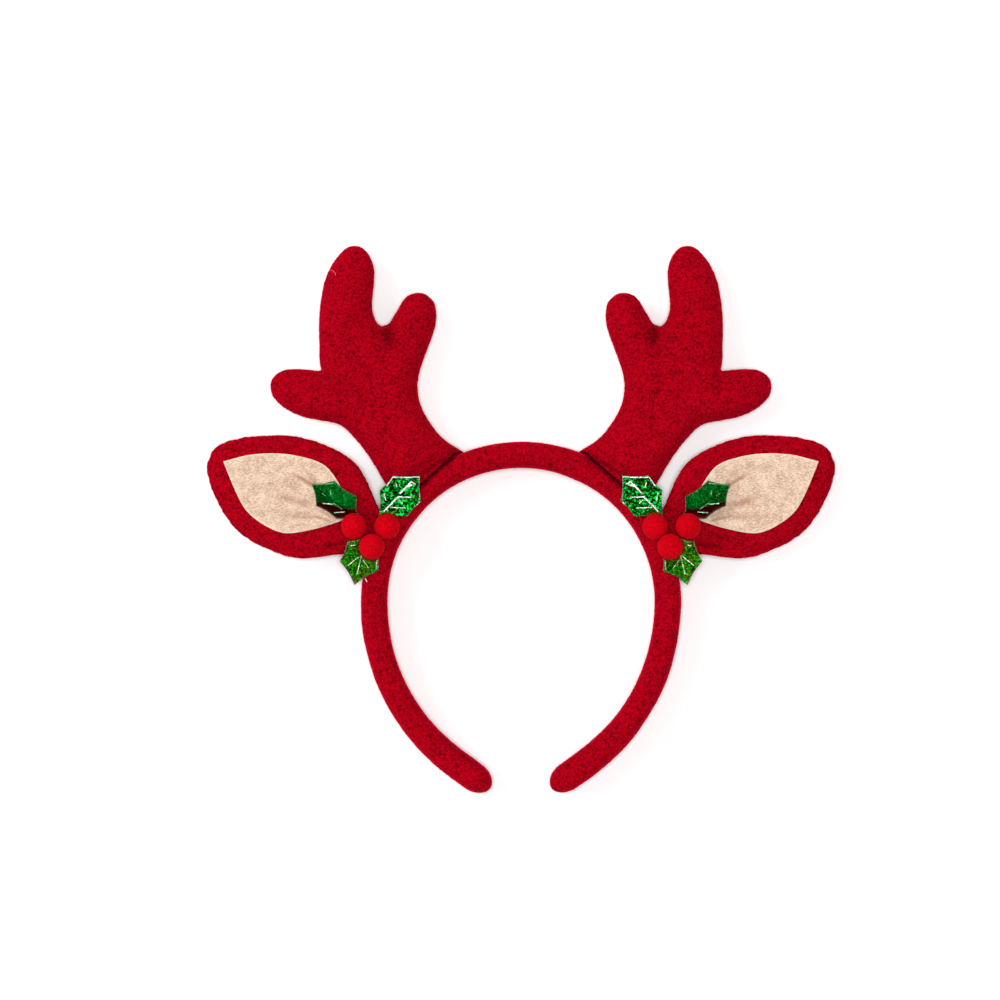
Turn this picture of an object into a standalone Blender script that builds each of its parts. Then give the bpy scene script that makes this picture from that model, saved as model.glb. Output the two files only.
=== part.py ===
"""Reindeer antler headband: a padded fleece band with two stuffed antlers, two cupped ears with felt
inside them, and a sprig of three holly leaves and three berries where each ear joins the band.

It lies on its back edge, as it rests on a table. X runs to the right, Y towards the antler tips and Z
up from the table to the headband's front. Pieces are shaped about the centre of the crown, the half
circle that sits on the head, and one empty then moves them all so that the middle of the finished
outline is at X = Y = 0. "Left" is the left of someone who looks at the front. The left half is modelled,
and the right half is its mirror image.

Lengths are in metres and angles in degrees. Polar angles are measured at the crown's centre, from the
top of the crown towards the left.
"""

import math
from collections import namedtuple

import bmesh
import bpy
import numpy as np
from mathutils import Euler, Matrix, Vector
from mathutils.bvhtree import BVHTree
from mathutils.geometry import delaunay_2d_cdt, interpolate_bezier

# Band
HEAD_RADIUS = 0.0537  # inside of the crown
BAND_THICKNESS = 0.0104  # from the head outwards
BAND_DEPTH = 0.018  # back to front
BAND_CORNER_RADIUS = 0.0042
LIMB_RADIUS = 0.080  # middle line of each limb, which runs on from the crown with a wider curve
LIMB_SWEEP = 54.5
LIMB_END = 0.0078  # straight end of each limb, before the tip
TIP_THICKNESS = 0.0114  # the fleece is bunched a little where it closes over the end
TIP_LENGTH = 0.0085
TIP_BLUNTNESS = 0.6  # share of the band's depth that is left at the very end
TIP_CLOSING = 82.0  # how far round its quarter ellipse the tip closes

# Antlers
ANTLER_SEAT = 36.5  # polar angle of the middle of the foot
ANTLER_FOOT = 0.0336  # along the band
ANTLER_HEIGHT = 0.0913  # from the seat to the top of the main tine
ANTLER_WIDTH = 0.0668  # from the outer tine's tip to the inner tine's far side
ANTLER_THICKNESS = 0.0135
ANTLER_ROUNDING = 0.008  # how far in from the outline the stuffing still swells

# Ears
EAR_CLEARANCE = 0.0063  # the ear is sewn on this far clear of the antler, measured flat
EAR_ROOT = 0.0152  # along the band
EAR_REACH = 0.0676  # from the seat to the far edge
EAR_HEIGHT = 0.0493
EAR_THICKNESS = 0.0080
EAR_ROUNDING = 0.0055
EAR_SET_BACK = 0.0010  # from the band's middle back to the ear's, along the fold
EAR_FOLD_SLOPE = 0.85  # how steeply the two halves rise from the fold at the root
EAR_FOLD_RADIUS = 0.002
EAR_AXIS = 153.5  # direction of the fold, from the root to the ear's tip
FELT_THICKNESS = 0.0012

# Holly
LEAF_LENGTH = 0.0236
LEAF_HALF_WIDTH = 0.0074
LEAF_THICKNESS = 0.0010
LEAF_FOLD = 0.0010  # how far the middle vein lies below the edges
LEAF_SCALLOP = 0.05  # depth of the hollow between two spikes, as a share of their distance
BERRY_RADIUS = 0.0052

GAP = 0.0003  # left between pieces that are sewn or glued together

# Fineness of the search for the ear's seat, and of the meshes
SEAT_RANGE = 60.0  # degrees past the place where the ear's root would touch the antler's foot
SEAT_HALVINGS = 16
OUTLINE_STEP = 0.0034
FINE_OUTLINE_STEP = 0.0006  # of the outline that depths are measured from
CORNER_TURN = 35.0  # an outline that turns more than this from one fine step to the next has a corner
ANTLER_RINGS = (0.08, 0.28, 0.6)  # rings of points in from the outline, as shares of the rounding
EAR_RINGS = (0.1, 0.35, 0.8)
CROWN_STEPS = 36
LIMB_STEPS = 10
TIP_STEPS = 5
CORNER_STEPS = 3
BERRY_SIDES = 14
BERRY_RINGS = 9

OUTER_RADIUS = HEAD_RADIUS + BAND_THICKNESS
MIDDLE_RADIUS = HEAD_RADIUS + BAND_THICKNESS / 2
SEAT_RADIUS = OUTER_RADIUS + GAP

# An outline's landmarks, counterclockwise. across and up are shares of the piece's own width and height,
# measured from its seat. heading is the direction of travel there. turn is how much a sharp corner turns
# it. back and on are the lengths of the curve's two handles, as shares of the width.
Landmark = namedtuple("Landmark", "across up heading turn back on")

ANTLER_OUTLINE = (
    Landmark(-0.048, 0.386, 90, 0, 0.17, 0.13),  # waist of the trunk
    Landmark(0.065, 0.706, 90, 0, 0.15, 0.070),  # side of the inner tine
    Landmark(-0.046, 0.795, 180, 0, 0.062, 0.050),  # top of the inner tine
    Landmark(-0.160, 0.742, 237, 0, 0.048, 0.075),
    Landmark(-0.262, 0.648, 180, 0, 0.032, 0.032),  # crotch between the two upper tines
    Landmark(-0.323, 0.742, 90, 0, 0.060, 0.060),
    Landmark(-0.312, 0.890, 90, 0, 0.060, 0.083),
    Landmark(-0.423, 1.000, 180, 0, 0.061, 0.110),  # top of the main tine
    Landmark(-0.638, 0.680, 270, 0, 0.200, 0.090),
    Landmark(-0.635, 0.448, 270, -101, 0.090, 0.040),  # corner over the outer tine
    Landmark(-0.789, 0.459, 180, 0, 0.050, 0.085),
    Landmark(-0.936, 0.378, 270, 0, 0.058, 0.085),  # end of the outer tine
    Landmark(-0.747, 0.252, 341, 0, 0.085, 0.070),
    Landmark(-0.537, 0.218, 347, 0, 0.060, 0.055),  # where the outer tine meets the trunk
    Landmark(-0.372, 0.102, 307, 0, 0.080, 0.110),
)
ANTLER_FOOT_IN = (300, 0.110)  # heading and handle where the outline meets the band
ANTLER_FOOT_OUT = (150, 0.140)  # and where it leaves it

EAR_OUTLINE = (
    Landmark(-0.140, 0.592, 135, 0, 0.090, 0.150),
    Landmark(-0.578, 0.810, 180, 0, 0.140, 0.090),  # top
    Landmark(-0.851, 0.770, 192, 0, 0.090, 0.060),
    Landmark(-0.975, 0.674, 236, 0, 0.035, 0.035),  # tip
    Landmark(-1.000, 0.540, 270, 0, 0.040, 0.060),
    Landmark(-0.941, 0.272, 297, 0, 0.060, 0.080),
    Landmark(-0.808, 0.012, 318, 0, 0.080, 0.130),
    Landmark(-0.401, -0.190, 0, 0, 0.140, 0.060),  # lowest point
    Landmark(-0.235, -0.170, 7, 0, 0.050, 0.060),
)
EAR_ROOT_IN = (8, 0.060)
EAR_ROOT_OUT = (116, 0.060)

FELT_OUTLINE = (
    Landmark(-0.128, 0.199, 60, 70, 0.030, 0.040),  # end under the holly
    Landmark(-0.278, 0.536, 135, 0, 0.090, 0.060),
    Landmark(-0.451, 0.634, 167, 0, 0.060, 0.090),
    Landmark(-0.738, 0.645, 188, 0, 0.090, 0.050),
    Landmark(-0.897, 0.592, 193, 97, 0.050, 0.080),  # point towards the ear's tip
    Landmark(-0.783, 0.235, 300, 0, 0.080, 0.060),
    Landmark(-0.662, 0.080, 328, 0, 0.050, 0.050),
    Landmark(-0.513, 0.007, 0, 0, 0.050, 0.060),
    Landmark(-0.200, 0.110, 22, 0, 0.110, 0.030),
)

# Two spikes stand out from each side of a holly leaf: where, as a share of its length from its base, and
# how far, as a share of its half width.
Spike = namedtuple("Spike", "along aside")
UPPER_SPIKES = (Spike(0.345, 1.0), Spike(0.69, 1.0))
OUTER_SPIKES = (Spike(0.38, 0.90), Spike(0.745, 0.96))
LOWER_SPIKES = (Spike(0.40, 0.86), Spike(0.66, 1.03))
LEAF_BASE_WIDTH = 0.0012
LEAF_VEIN = (0.15, 0.35, 0.55, 0.75, 0.9)  # points down its middle, as shares of the length

# Where each leaf's base is, down the band from the ear's middle and out from the band's outer face, as
# shares of a leaf's length. Then its own length and width as shares of the sizes above, its spikes, the
# way that it points, and how far its tip dips and its left edge lifts.
Leaf = namedtuple("Leaf", "name down out length width spikes points dip lift")
LEAVES = (
    Leaf("leaf_upper", -0.275, 0.068, 1.0, 1.03, UPPER_SPIKES, 46.8, 0, 0),
    Leaf("leaf_outer", -0.115, 0.237, 1.13, 0.88, OUTER_SPIKES, 145.4, 8, 6),
    Leaf("leaf_lower", -0.053, 0.153, 1.0, 1.06, LOWER_SPIKES, 256.0, 4, 0),
)
# Where each berry is, in the same way, as shares of its radius.
Berry = namedtuple("Berry", "name down out")
BERRIES = (
    Berry("berry_outer", 0.09, 1.79),
    Berry("berry_inner", -0.97, -0.50),
    Berry("berry_lower", 0.97, -0.115),
)

# Colours as a Principled BSDF takes them, with roughness
FINISHES = {
    "red_fleece": ((0.48, 0.004, 0.016), 0.95),
    "beige_felt": ((0.80, 0.54, 0.38), 0.95),
    "green_foil": ((0.01, 0.26, 0.03), 0.30),
    "berry_flock": ((0.72, 0.008, 0.012), 0.90),
}


def toward(degrees):
    """The unit vector in the XY plane that points this way, counterclockwise from +X."""
    return Vector((math.cos(math.radians(degrees)), math.sin(math.radians(degrees))))


def on_crown(polar, radius):
    """The point at a polar angle and radius about the crown's centre."""
    return toward(90 + polar) * radius


def finish(name):
    """The material of one of the FINISHES, made once."""
    if name in bpy.data.materials:
        return bpy.data.materials[name]
    colour, roughness = FINISHES[name]
    material = bpy.data.materials.new(name)
    material.use_nodes = True
    shader = material.node_tree.nodes["Principled BSDF"]
    shader.inputs["Base Color"].default_value = (*colour, 1)
    shader.inputs["Roughness"].default_value = roughness
    shader.inputs["Metallic"].default_value = 0.0
    return material


def piece_of(name, verts, faces, material):
    """A new object of this mesh, whose faces go counterclockwise seen from outside."""
    mesh = bpy.data.meshes.new(name)
    mesh.from_pydata([tuple(v) for v in verts], [], faces)
    mesh.materials.append(finish(material))
    mesh.shade_smooth()
    mesh.set_sharp_from_angle(angle=math.radians(50))
    piece = bpy.data.objects.new(name, mesh)
    bpy.context.scene.collection.objects.link(piece)
    return piece


# Band


def band_stations():
    """(point, outward direction, thickness, share of the depth) down the left side of the middle line.

    The crown's quarter circle comes first, then the limb with its straight end, and the closed tip.
    """
    rows = []
    for step in range(CROWN_STEPS // 2 + 1):
        polar = 90 * step / (CROWN_STEPS // 2)
        rows.append((on_crown(polar, MIDDLE_RADIUS), toward(90 + polar), BAND_THICKNESS, 1.0))
    limb_centre = Vector((LIMB_RADIUS - MIDDLE_RADIUS, 0))
    for step in range(1, LIMB_STEPS + 1):
        share = step / LIMB_STEPS
        outward = toward(180 + LIMB_SWEEP * share)
        thickness = BAND_THICKNESS + (TIP_THICKNESS - BAND_THICKNESS) * share**3
        rows.append((limb_centre + outward * LIMB_RADIUS, outward, thickness, 1.0))
    end = rows[-1][0]
    onward = toward(270 + LIMB_SWEEP)
    for step in range(TIP_STEPS + 1):
        # Even turns round a quarter ellipse, which stop short of a point
        turn = math.radians(TIP_CLOSING * step / TIP_STEPS)
        depth = TIP_BLUNTNESS + (1 - TIP_BLUNTNESS) * math.cos(turn)
        place = end + onward * (LIMB_END + TIP_LENGTH * math.sin(turn))
        rows.append((place, outward, TIP_THICKNESS * math.cos(turn), depth))
    return rows


def band_section(thickness, depth_share):
    """(out, height) round one section: a box with rounded corners, flat where it lies on the table."""
    corner_radius = min(BAND_CORNER_RADIUS, 0.45 * BAND_THICKNESS, 0.45 * BAND_DEPTH)
    flat_out = BAND_THICKNESS / 2 - corner_radius
    flat_up = BAND_DEPTH / 2 - corner_radius
    points = []
    for corner, (side, level) in enumerate(((1, 1), (-1, 1), (-1, -1), (1, -1))):
        for step in range(CORNER_STEPS + 1):
            arc = toward(90 * (corner + step / CORNER_STEPS)) * corner_radius
            out = (side * flat_out + arc.x) * thickness / BAND_THICKNESS
            up = (level * flat_up + arc.y) * depth_share
            points.append((out, BAND_DEPTH / 2 + up))
    return points


def make_band():
    left = band_stations()
    right = [(Vector((-p.x, p.y)), Vector((-o.x, o.y)), t, d) for p, o, t, d in left[1:]]
    stations = right[::-1] + left
    verts, faces = [], []
    for point, outward, thickness, depth_share in stations:
        for out, height in band_section(thickness, depth_share):
            place = point + outward * out
            verts.append((place.x, place.y, height))
    sides = len(verts) // len(stations)
    for row in range(len(stations) - 1):
        for side in range(sides):
            near = row * sides
            far = near + sides
            after = (side + 1) % sides
            faces.append((near + side, far + side, far + after, near + after))
    faces.append(tuple(range(sides)))
    faces.append(tuple(reversed(range(len(verts) - sides, len(verts)))))
    return piece_of("band", verts, faces, "red_fleece")


# Panels: pieces cut to an outline


def knot(landmark, seat, width, height):
    """(point, handle behind, handle ahead) of a landmark."""
    point = seat + Vector((landmark.across * width, landmark.up * height))
    behind = point - toward(landmark.heading) * landmark.back * width
    ahead = point + toward(landmark.heading + landmark.turn) * landmark.on * width
    return point, behind, ahead


def foot_knots(seat_polar, foot_length, arriving, leaving, width):
    """The two knots where an outline meets the band, the one that it arrives at first."""
    half = math.degrees(foot_length / 2 / SEAT_RADIUS)
    low, high = on_crown(seat_polar + half, SEAT_RADIUS), on_crown(seat_polar - half, SEAT_RADIUS)
    heading_in, handle_in = arriving
    heading_out, handle_out = leaving
    first = (low, low - toward(heading_in) * handle_in * width, None)
    last = (high, None, high + toward(heading_out) * handle_out * width)
    return first, last


def curve_through(knots, closed):
    """Closely spaced points through the knots."""
    points = []
    pairs = list(zip(knots, knots[1:] + knots[:1])) if closed else list(zip(knots, knots[1:]))
    for (start, _, ahead), (end, behind, _) in pairs:
        steps = max(4, round((end - start).length / FINE_OUTLINE_STEP))
        points += interpolate_bezier(start, ahead, behind, end, steps + 1)[:-1]
    return points if closed else points + [knots[-1][0]]


def seat_arc(seat_polar, foot_length):
    """The stretch of an outline that follows the band's outer face, clear of it by GAP."""
    half = math.degrees(foot_length / 2 / SEAT_RADIUS)
    steps = round(foot_length / FINE_OUTLINE_STEP)
    return [on_crown(seat_polar + half - 2 * half * i / steps, SEAT_RADIUS) for i in range(1, steps)]


def evenly_spaced(points, spacing, corners=()):
    """The closed outline again with points about spacing apart, keeping the ones at the corners."""
    line = np.array([tuple(p) for p in points])
    loop = np.vstack([line, line[:1]])
    along = np.concatenate([[0], np.cumsum(np.linalg.norm(np.diff(loop, axis=0), axis=1))])
    stops = sorted(along[i] for i in corners) or [0.0]
    stops.append(stops[0] + along[-1])
    wanted = []
    for start, end in zip(stops, stops[1:]):
        count = max(1, round((end - start) / spacing))
        wanted += [start + (end - start) * i / count for i in range(count)]
    wanted = np.array(wanted) % along[-1]
    return np.stack([np.interp(wanted, along, loop[:, axis]) for axis in (0, 1)], axis=1)


def sharp_corners(points):
    """The places in a fine closed outline where it turns sharply."""
    line = np.array([tuple(p) for p in points])
    ahead = np.roll(line, -1, axis=0) - line
    heading = np.degrees(np.arctan2(ahead[:, 1], ahead[:, 0]))
    turn = (heading - np.roll(heading, 1) + 180) % 360 - 180
    return [int(i) for i in np.nonzero(np.abs(turn) > CORNER_TURN)[0]]


class Outline:
    """A closed outline, which can say how far inside it a point is."""

    def __init__(self, points):
        self.fine = evenly_spaced(points, FINE_OUTLINE_STEP, sharp_corners(points))
        self.rim = evenly_spaced(points, OUTLINE_STEP, sharp_corners(points))
        ahead = np.roll(self.fine, -1, axis=0) - self.fine
        self.lengths = np.linalg.norm(ahead, axis=1)
        self.middles = self.fine + ahead / 2

    def distances(self, places):
        return np.linalg.norm(np.asarray(places)[:, None, :] - self.middles[None], axis=2)

    def depth(self, places):
        """The plain distance of each place from the outline, without regard to side."""
        return self.distances(places).min(axis=1)

    def swell(self, places):
        """A smooth depth: like the distance near the outline, with no ridge half way across."""
        return np.sqrt(2 / (self.lengths / self.distances(places) ** 3).sum(axis=1))

    def holds(self, places):
        """Which places are inside, by counting the outline's crossings to their right."""
        a, b = self.fine, np.roll(self.fine, -1, axis=0)
        x, y = np.asarray(places).T[:, :, None]
        spans = (a[:, 1] > y) != (b[:, 1] > y)
        with np.errstate(divide="ignore", invalid="ignore"):
            crossing = a[:, 0] + (y - a[:, 1]) / (b[:, 1] - a[:, 1]) * (b[:, 0] - a[:, 0])
        return (spans & (crossing > x)).sum(axis=1) % 2 == 1

    def inner_points(self, insets, spacing):
        """Rings of points inside the rim, one for each inset, and a staggered grid inside the last.

        Points that would make slivers of triangles are left out.
        """
        ahead = np.roll(self.rim, -1, axis=0) - np.roll(self.rim, 1, axis=0)
        inward = np.stack([-ahead[:, 1], ahead[:, 0]], axis=1)
        inward /= np.linalg.norm(inward, axis=1)[:, None]
        found = np.empty((0, 2))
        for inset in insets:
            ring = self.rim + inward * inset
            ring = ring[self.holds(ring)]
            found = self.added(found, ring[self.depth(ring) > 0.93 * inset], 0.45 * spacing)
        low, high = self.rim.min(axis=0), self.rim.max(axis=0)
        columns = np.arange(low[0], high[0], spacing)
        rows = np.arange(low[1], high[1], spacing * math.sqrt(0.75))
        grid = [(x + (i % 2) * spacing / 2, y) for i, y in enumerate(rows) for x in columns]
        grid = np.array(grid)
        grid = grid[self.holds(grid)]
        last = insets[-1] if insets else 0
        return self.added(found, grid[self.depth(grid) > last + 0.45 * spacing], 0.6 * spacing)

    @staticmethod
    def added(found, more, apart):
        """found with those of more that keep this far apart from it and from each other."""
        kept = list(found)
        for point in more:
            if not kept or np.linalg.norm(np.array(kept) - point, axis=1).min() > apart:
                kept.append(point)
        return np.array(kept).reshape(-1, 2)


def panel(name, outline, insets, spacing, skins, material):
    """A solid between two skins over an outline. skins(places, on_rim) gives the heights of both."""
    inner = outline.inner_points(insets, spacing)
    flat = [Vector(p) for p in np.vstack([outline.rim, inner])]
    rim_count = len(outline.rim)
    placed, _, triangles, sources, _, _ = delaunay_2d_cdt(flat, [], [list(range(rim_count))], 1, 1e-7)
    on_rim = np.array([any(i < rim_count for i in source) for source in sources])
    low, high = skins(np.array([tuple(p) for p in placed]), on_rim)
    verts = [(p.x, p.y, z) for p, z in zip(placed, high)]
    below = []
    for i, (p, z) in enumerate(zip(placed, low)):
        # A stuffed piece's skins meet along the rim
        if on_rim[i] and high[i] == z:
            below.append(i)
        else:
            below.append(len(verts))
            verts.append((p.x, p.y, z))
    faces = [tuple(t) for t in triangles]
    faces += [tuple(below[i] for i in reversed(t)) for t in triangles]
    order = {source: i for i, found in enumerate(sources) for source in found if source < rim_count}
    for n in range(rim_count):
        a, b = order[n], order[(n + 1) % rim_count]
        if below[a] != a:
            faces.append((a, below[a], below[b], b))
    return piece_of(name, verts, faces, material)


def stuffed(outline, places, on_rim, thickness, rounding):
    """Half the height of a stuffed piece at each place: a quarter ellipse in from the rim, then flat."""
    into = np.clip(outline.swell(places) / rounding, 0, 1)
    return np.where(on_rim, 0, thickness / 2 * np.sqrt(1 - (1 - into) ** 2))


# Antlers


def antler_outline():
    seat = on_crown(ANTLER_SEAT, SEAT_RADIUS)
    arriving, leaving = foot_knots(ANTLER_SEAT, ANTLER_FOOT, ANTLER_FOOT_IN, ANTLER_FOOT_OUT, ANTLER_WIDTH)
    knots = [leaving] + [knot(row, seat, ANTLER_WIDTH, ANTLER_HEIGHT) for row in ANTLER_OUTLINE] + [arriving]
    return Outline(curve_through(knots, closed=False) + seat_arc(ANTLER_SEAT, ANTLER_FOOT))


def make_antler(outline):
    def skins(places, on_rim):
        half = stuffed(outline, places, on_rim, ANTLER_THICKNESS, ANTLER_ROUNDING)
        return BAND_DEPTH / 2 - half, BAND_DEPTH / 2 + half

    insets = [ANTLER_ROUNDING * share for share in ANTLER_RINGS]
    return panel("left_antler", outline, insets, OUTLINE_STEP, skins, "red_fleece")


# Ears


def ear_outline(seat_polar):
    seat = on_crown(seat_polar, SEAT_RADIUS)
    arriving, leaving = foot_knots(seat_polar, EAR_ROOT, EAR_ROOT_IN, EAR_ROOT_OUT, EAR_REACH)
    knots = [leaving] + [knot(row, seat, EAR_REACH, EAR_HEIGHT) for row in EAR_OUTLINE] + [arriving]
    return Outline(curve_through(knots, closed=False) + seat_arc(seat_polar, EAR_ROOT))


def find_ear_seat(antler):
    """How far down the crown the ear is sewn on, as a polar angle: where it just clears the antler."""
    near = ANTLER_SEAT + math.degrees((ANTLER_FOOT + EAR_ROOT) / 2 / SEAT_RADIUS)
    clear = near + SEAT_RANGE
    for _ in range(SEAT_HALVINGS):
        middle = (near + clear) / 2
        if antler.distances(ear_outline(middle).fine).min() < EAR_CLEARANCE:
            near = middle
        else:
            clear = middle
    return clear


def ear_fold_height(places, seat_polar):
    """Height of the ear's middle sheet over its level at the fold: a crease at the root that fades out."""
    root = np.array(on_crown(seat_polar, SEAT_RADIUS))
    axis = np.array(toward(EAR_AXIS))
    from_root = places - root
    along = np.clip(from_root @ axis / EAR_REACH, 0, 1)
    aside = from_root @ np.array((-axis[1], axis[0]))
    slope = EAR_FOLD_SLOPE * (1 - along) ** 3
    return slope * (np.sqrt(aside**2 + EAR_FOLD_RADIUS**2) - EAR_FOLD_RADIUS)


def make_ear_and_felt(seat_polar):
    outline = ear_outline(seat_polar)

    def red_skins(places, on_rim):
        half = stuffed(outline, places, on_rim, EAR_THICKNESS, EAR_ROUNDING)
        middle = BAND_DEPTH / 2 - EAR_SET_BACK + ear_fold_height(places, seat_polar)
        return middle - half, middle + half

    insets = [EAR_ROUNDING * share for share in EAR_RINGS]
    ear = panel("left_ear", outline, insets, OUTLINE_STEP, red_skins, "red_fleece")
    seat = on_crown(seat_polar, SEAT_RADIUS)
    felt_knots = [knot(row, seat, EAR_REACH, EAR_HEIGHT) for row in FELT_OUTLINE]
    cut = Outline(curve_through(felt_knots, closed=True))

    def felt_skins(places, _):
        front = red_skins(places, False)[1] + GAP
        return front, front + FELT_THICKNESS

    felt = panel("left_inner_ear", cut, [], OUTLINE_STEP, felt_skins, "beige_felt")
    return ear, felt


# Holly


def leaf_outline(length, half_width, spikes):
    """One leaf in its own plane, its base at the origin and its tip at +X, with hollow edges."""
    half = [(length * s.along, half_width * s.aside) for s in spikes]
    half = [(0, LEAF_BASE_WIDTH / 2), *half, (length, 0)]
    corners = [Vector((x, -y)) for x, y in half] + [Vector(p) for p in half[-2::-1]]
    points = []
    for start, end in zip(corners, corners[1:] + corners[:1]):
        side = end - start
        points.append(start)
        if side.length > 2 * LEAF_BASE_WIDTH:
            inward = Vector((-side.y, side.x))
            points.append(start + side / 2 + inward * LEAF_SCALLOP)
    return points


def make_leaf(name, length, half_width, spikes):
    """A leaf folded along its middle vein, as thick sheet."""
    rim = leaf_outline(length, half_width, spikes)
    vein = [Vector((length * share, 0)) for share in LEAF_VEIN]
    placed, _, triangles, _, _, _ = delaunay_2d_cdt(rim + vein, [], [list(range(len(rim)))], 1, 1e-7)
    verts = []
    for level in (LEAF_THICKNESS, 0):
        verts += [(p.x, p.y, level + LEAF_FOLD * abs(p.y) / half_width) for p in placed]
    count = len(placed)
    faces = [tuple(t) for t in triangles]
    faces += [tuple(i + count for i in reversed(t)) for t in triangles]
    around = [min(range(count), key=lambda i, p=p: (placed[i] - p).length) for p in rim]
    for a, b in zip(around, around[1:] + around[:1]):
        faces.append((a, a + count, b + count, b))
    return piece_of(name, verts, faces, "green_foil")


def make_berry(name):
    made = bmesh.new()
    bmesh.ops.create_uvsphere(made, u_segments=BERRY_SIDES, v_segments=BERRY_RINGS, radius=BERRY_RADIUS)
    verts = [tuple(v.co) for v in made.verts]
    faces = [tuple(v.index for v in f.verts) for f in made.faces]
    made.free()
    return piece_of(name, verts, faces, "berry_flock")


def world_mesh(pieces):
    """The points and faces of these pieces together, where they stand."""
    points, faces = [], []
    for piece in pieces:
        first = len(points)
        points += [piece.matrix_basis @ v.co for v in piece.data.vertices]
        faces += [[first + i for i in f.vertices] for f in piece.data.polygons]
    return points, faces


def lay_on(piece, supports):
    """Lowers a piece from above until it is GAP from what it comes to rest on."""
    under_points, under_faces = world_mesh(supports)
    under = BVHTree.FromPolygons(under_points, under_faces)
    piece.location.z = 2 * BAND_DEPTH + 4 * BERRY_RADIUS
    for _ in range(60):
        points, faces = world_mesh([piece])
        shape = BVHTree.FromPolygons(points, faces)
        low = min(p.z for p in points)
        near = [shape.find_nearest(p)[3] for p in under_points if p.z > low - BERRY_RADIUS]
        near += [under.find_nearest(p)[3] for p in points]
        room = min(near) - GAP
        if room < GAP / 20:
            return
        piece.location.z -= room


def make_holly(ear_seat, ground):
    """The sprig: each leaf and berry is laid on what is already there."""

    def place(row, unit):
        polar = ear_seat + math.degrees(row.down * unit / OUTER_RADIUS)
        return (*on_crown(polar, OUTER_RADIUS + row.out * unit), 0)

    laid = []
    for row in LEAVES:
        size = LEAF_LENGTH * row.length, LEAF_HALF_WIDTH * row.width
        leaf = make_leaf("left_" + row.name, *size, row.spikes)
        turn = Matrix.Rotation(math.radians(row.points), 3, "Z")
        tilt = Euler((math.radians(row.lift), math.radians(row.dip), 0)).to_matrix()
        leaf.rotation_euler = (turn @ tilt).to_euler()
        leaf.location = place(row, LEAF_LENGTH)
        lay_on(leaf, ground + laid)
        laid.append(leaf)
    for row in BERRIES:
        berry = make_berry("left_" + row.name)
        berry.location = place(row, BERRY_RADIUS)
        lay_on(berry, ground + laid)
        laid.append(berry)
    return laid


# The whole headband


def mirror_image(piece):
    """The right-hand twin of a left-hand piece."""
    flip = Matrix.Scale(-1, 4, Vector((1, 0, 0)))
    mesh = piece.data.copy()
    mesh.transform(flip)
    mesh.flip_normals()
    twin = bpy.data.objects.new(piece.name.replace("left_", "right_"), mesh)
    bpy.context.scene.collection.objects.link(twin)
    twin.matrix_basis = flip @ piece.matrix_basis @ flip
    return twin


def centre_outline(pieces):
    """Hangs the pieces on one empty, moved so that the middle of their outline is at X = Y = 0."""
    ups = [p.y for p in world_mesh(pieces)[0]]
    frame = bpy.data.objects.new("headband", None)
    bpy.context.scene.collection.objects.link(frame)
    frame.location = (0, -(min(ups) + max(ups)) / 2, 0)
    for piece in pieces:
        piece.parent = frame


def main():
    for old in list(bpy.data.objects):
        bpy.data.objects.remove(old)
    band = make_band()
    antler_shape = antler_outline()
    ear_seat = find_ear_seat(antler_shape)
    left = [make_antler(antler_shape), *make_ear_and_felt(ear_seat)]
    left += make_holly(ear_seat, [band] + left)
    centre_outline([band] + left + [mirror_image(piece) for piece in left])


main()
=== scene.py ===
import math

import bmesh
import bpy
import numpy as np
from mathutils import Matrix, Vector, geometry
from mathutils.bvhtree import BVHTree


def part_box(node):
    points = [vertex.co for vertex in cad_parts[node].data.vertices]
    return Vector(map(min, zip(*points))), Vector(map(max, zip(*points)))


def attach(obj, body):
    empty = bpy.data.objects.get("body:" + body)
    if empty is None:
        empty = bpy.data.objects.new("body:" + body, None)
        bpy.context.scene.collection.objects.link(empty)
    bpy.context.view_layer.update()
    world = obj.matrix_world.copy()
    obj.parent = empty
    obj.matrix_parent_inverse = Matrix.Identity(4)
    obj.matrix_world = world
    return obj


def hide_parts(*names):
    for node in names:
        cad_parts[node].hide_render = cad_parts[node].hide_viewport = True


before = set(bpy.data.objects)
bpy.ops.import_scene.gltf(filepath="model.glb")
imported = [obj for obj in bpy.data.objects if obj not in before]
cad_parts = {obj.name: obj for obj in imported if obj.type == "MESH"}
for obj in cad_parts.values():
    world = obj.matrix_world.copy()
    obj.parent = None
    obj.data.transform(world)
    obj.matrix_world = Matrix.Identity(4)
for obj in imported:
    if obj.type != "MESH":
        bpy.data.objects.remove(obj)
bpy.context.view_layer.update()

# A padded headband lies on its back edge on a table.
# Lengths are in metres, or in mm where a comment says so.
# The left half is made piece by piece, and the right half is its mirror image.

MM = 0.001
CROWN = np.array([0, -33.2]) * MM  # centre of the hoop in plan
MID_HEIGHT = 9 * MM  # where the front and back panels meet

# Fineness: the grids of the stuffed skins, which are then halved twice, and those of the sheets

BAND_GRID = 2.15 * MM
ANTLER_GRID = 1.6 * MM
EAR_GRID = 1.55 * MM
SHEET_GRID = 0.55 * MM
LEAF_GRID = 0.24 * MM


# Repeatable unevenness


def cell_numbers(cells, seed):
    """Three even numbers from 0 to 1 for each whole-numbered cell, the same on every run."""
    x, y, z = (cells[..., i].astype(np.int64).astype(np.uint64) for i in range(3))
    mixed = x * np.uint64(73856093) ^ y * np.uint64(19349663) ^ z * np.uint64(83492791)
    mixed ^= np.uint64(seed * 2654435761)
    numbers = []
    for turn in (1, 2, 3):
        mixed = (mixed ^ (mixed >> np.uint64(29))) * np.uint64(0xBF58476D1CE4E5B9 + 2 * turn)
        mixed ^= mixed >> np.uint64(32)
        numbers.append((mixed >> np.uint64(40)).astype(float) / float(1 << 24))
    return np.stack(numbers, axis=-1)


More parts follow.
